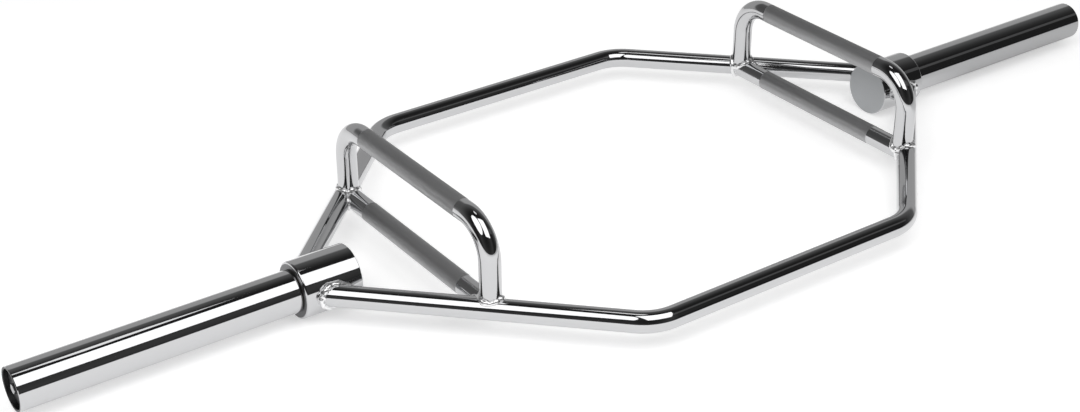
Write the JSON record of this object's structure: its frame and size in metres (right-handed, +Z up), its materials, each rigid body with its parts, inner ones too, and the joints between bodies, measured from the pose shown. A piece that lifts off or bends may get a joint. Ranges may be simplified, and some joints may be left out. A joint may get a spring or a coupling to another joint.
{
  "type": "hex trap bar",
  "caption": "Chrome hexagonal lifting bar with turning plate sleeves, collars, raised and low knurled handles, for standing inside the frame.",
  "frame": {"origin": "on the floor below the middle of the bar", "axes": "+X along the sleeve axis to the right end, +Y to the rear, +Z up"},
  "size_m": [1.58, 0.5954, 0.143],
  "materials": {
    "chrome": "polished",
    "knurled_steel": "satin, knurled",
    "satin_steel": "satin, turned",
    "plain_steel": "ground",
    "bronze": "plain",
    "dark_disc": "black oxide",
    "bolt_steel": "zinc plated"
  },
  "bodies": {
    "frame": {"front_frame_bar": "chrome", "rear_frame_bar": "chrome", "left_collar": "chrome", "left_spindle": "plain_steel", "left_retaining_disc": "dark_disc", "left_low_handle": "chrome", "left_raised_handle": "chrome", "left_collar_welds": "chrome", "left_raised_handle_welds": "chrome", "left_low_handle_welds": "chrome", "right_collar": "chrome", "right_spindle": "plain_steel", "right_retaining_disc": "dark_disc", "right_low_handle": "chrome", "right_raised_handle": "chrome", "right_collar_welds": "chrome", "right_raised_handle_welds": "chrome", "right_low_handle_welds": "chrome", "end_bolts": "bolt_steel"},
    "left_sleeve_unit": {"left_sleeve": "chrome", "left_inner_bush": "bronze", "left_outer_bush": "bronze"},
    "right_sleeve_unit": {"right_sleeve": "chrome", "right_inner_bush": "bronze", "right_outer_bush": "bronze"}
  },
  "joints": [
    {"name": "left_sleeve_spin", "type": "hinge", "parent": "frame", "child": "left_sleeve_unit", "pos_m": [-0.6294, 0, 0.0335], "axis": [1, 0, 0], "continuous": true},
    {"name": "right_sleeve_spin", "type": "hinge", "parent": "frame", "child": "right_sleeve_unit", "pos_m": [0.6294, 0, 0.0335], "axis": [1, 0, 0], "continuous": true}
  ]
}
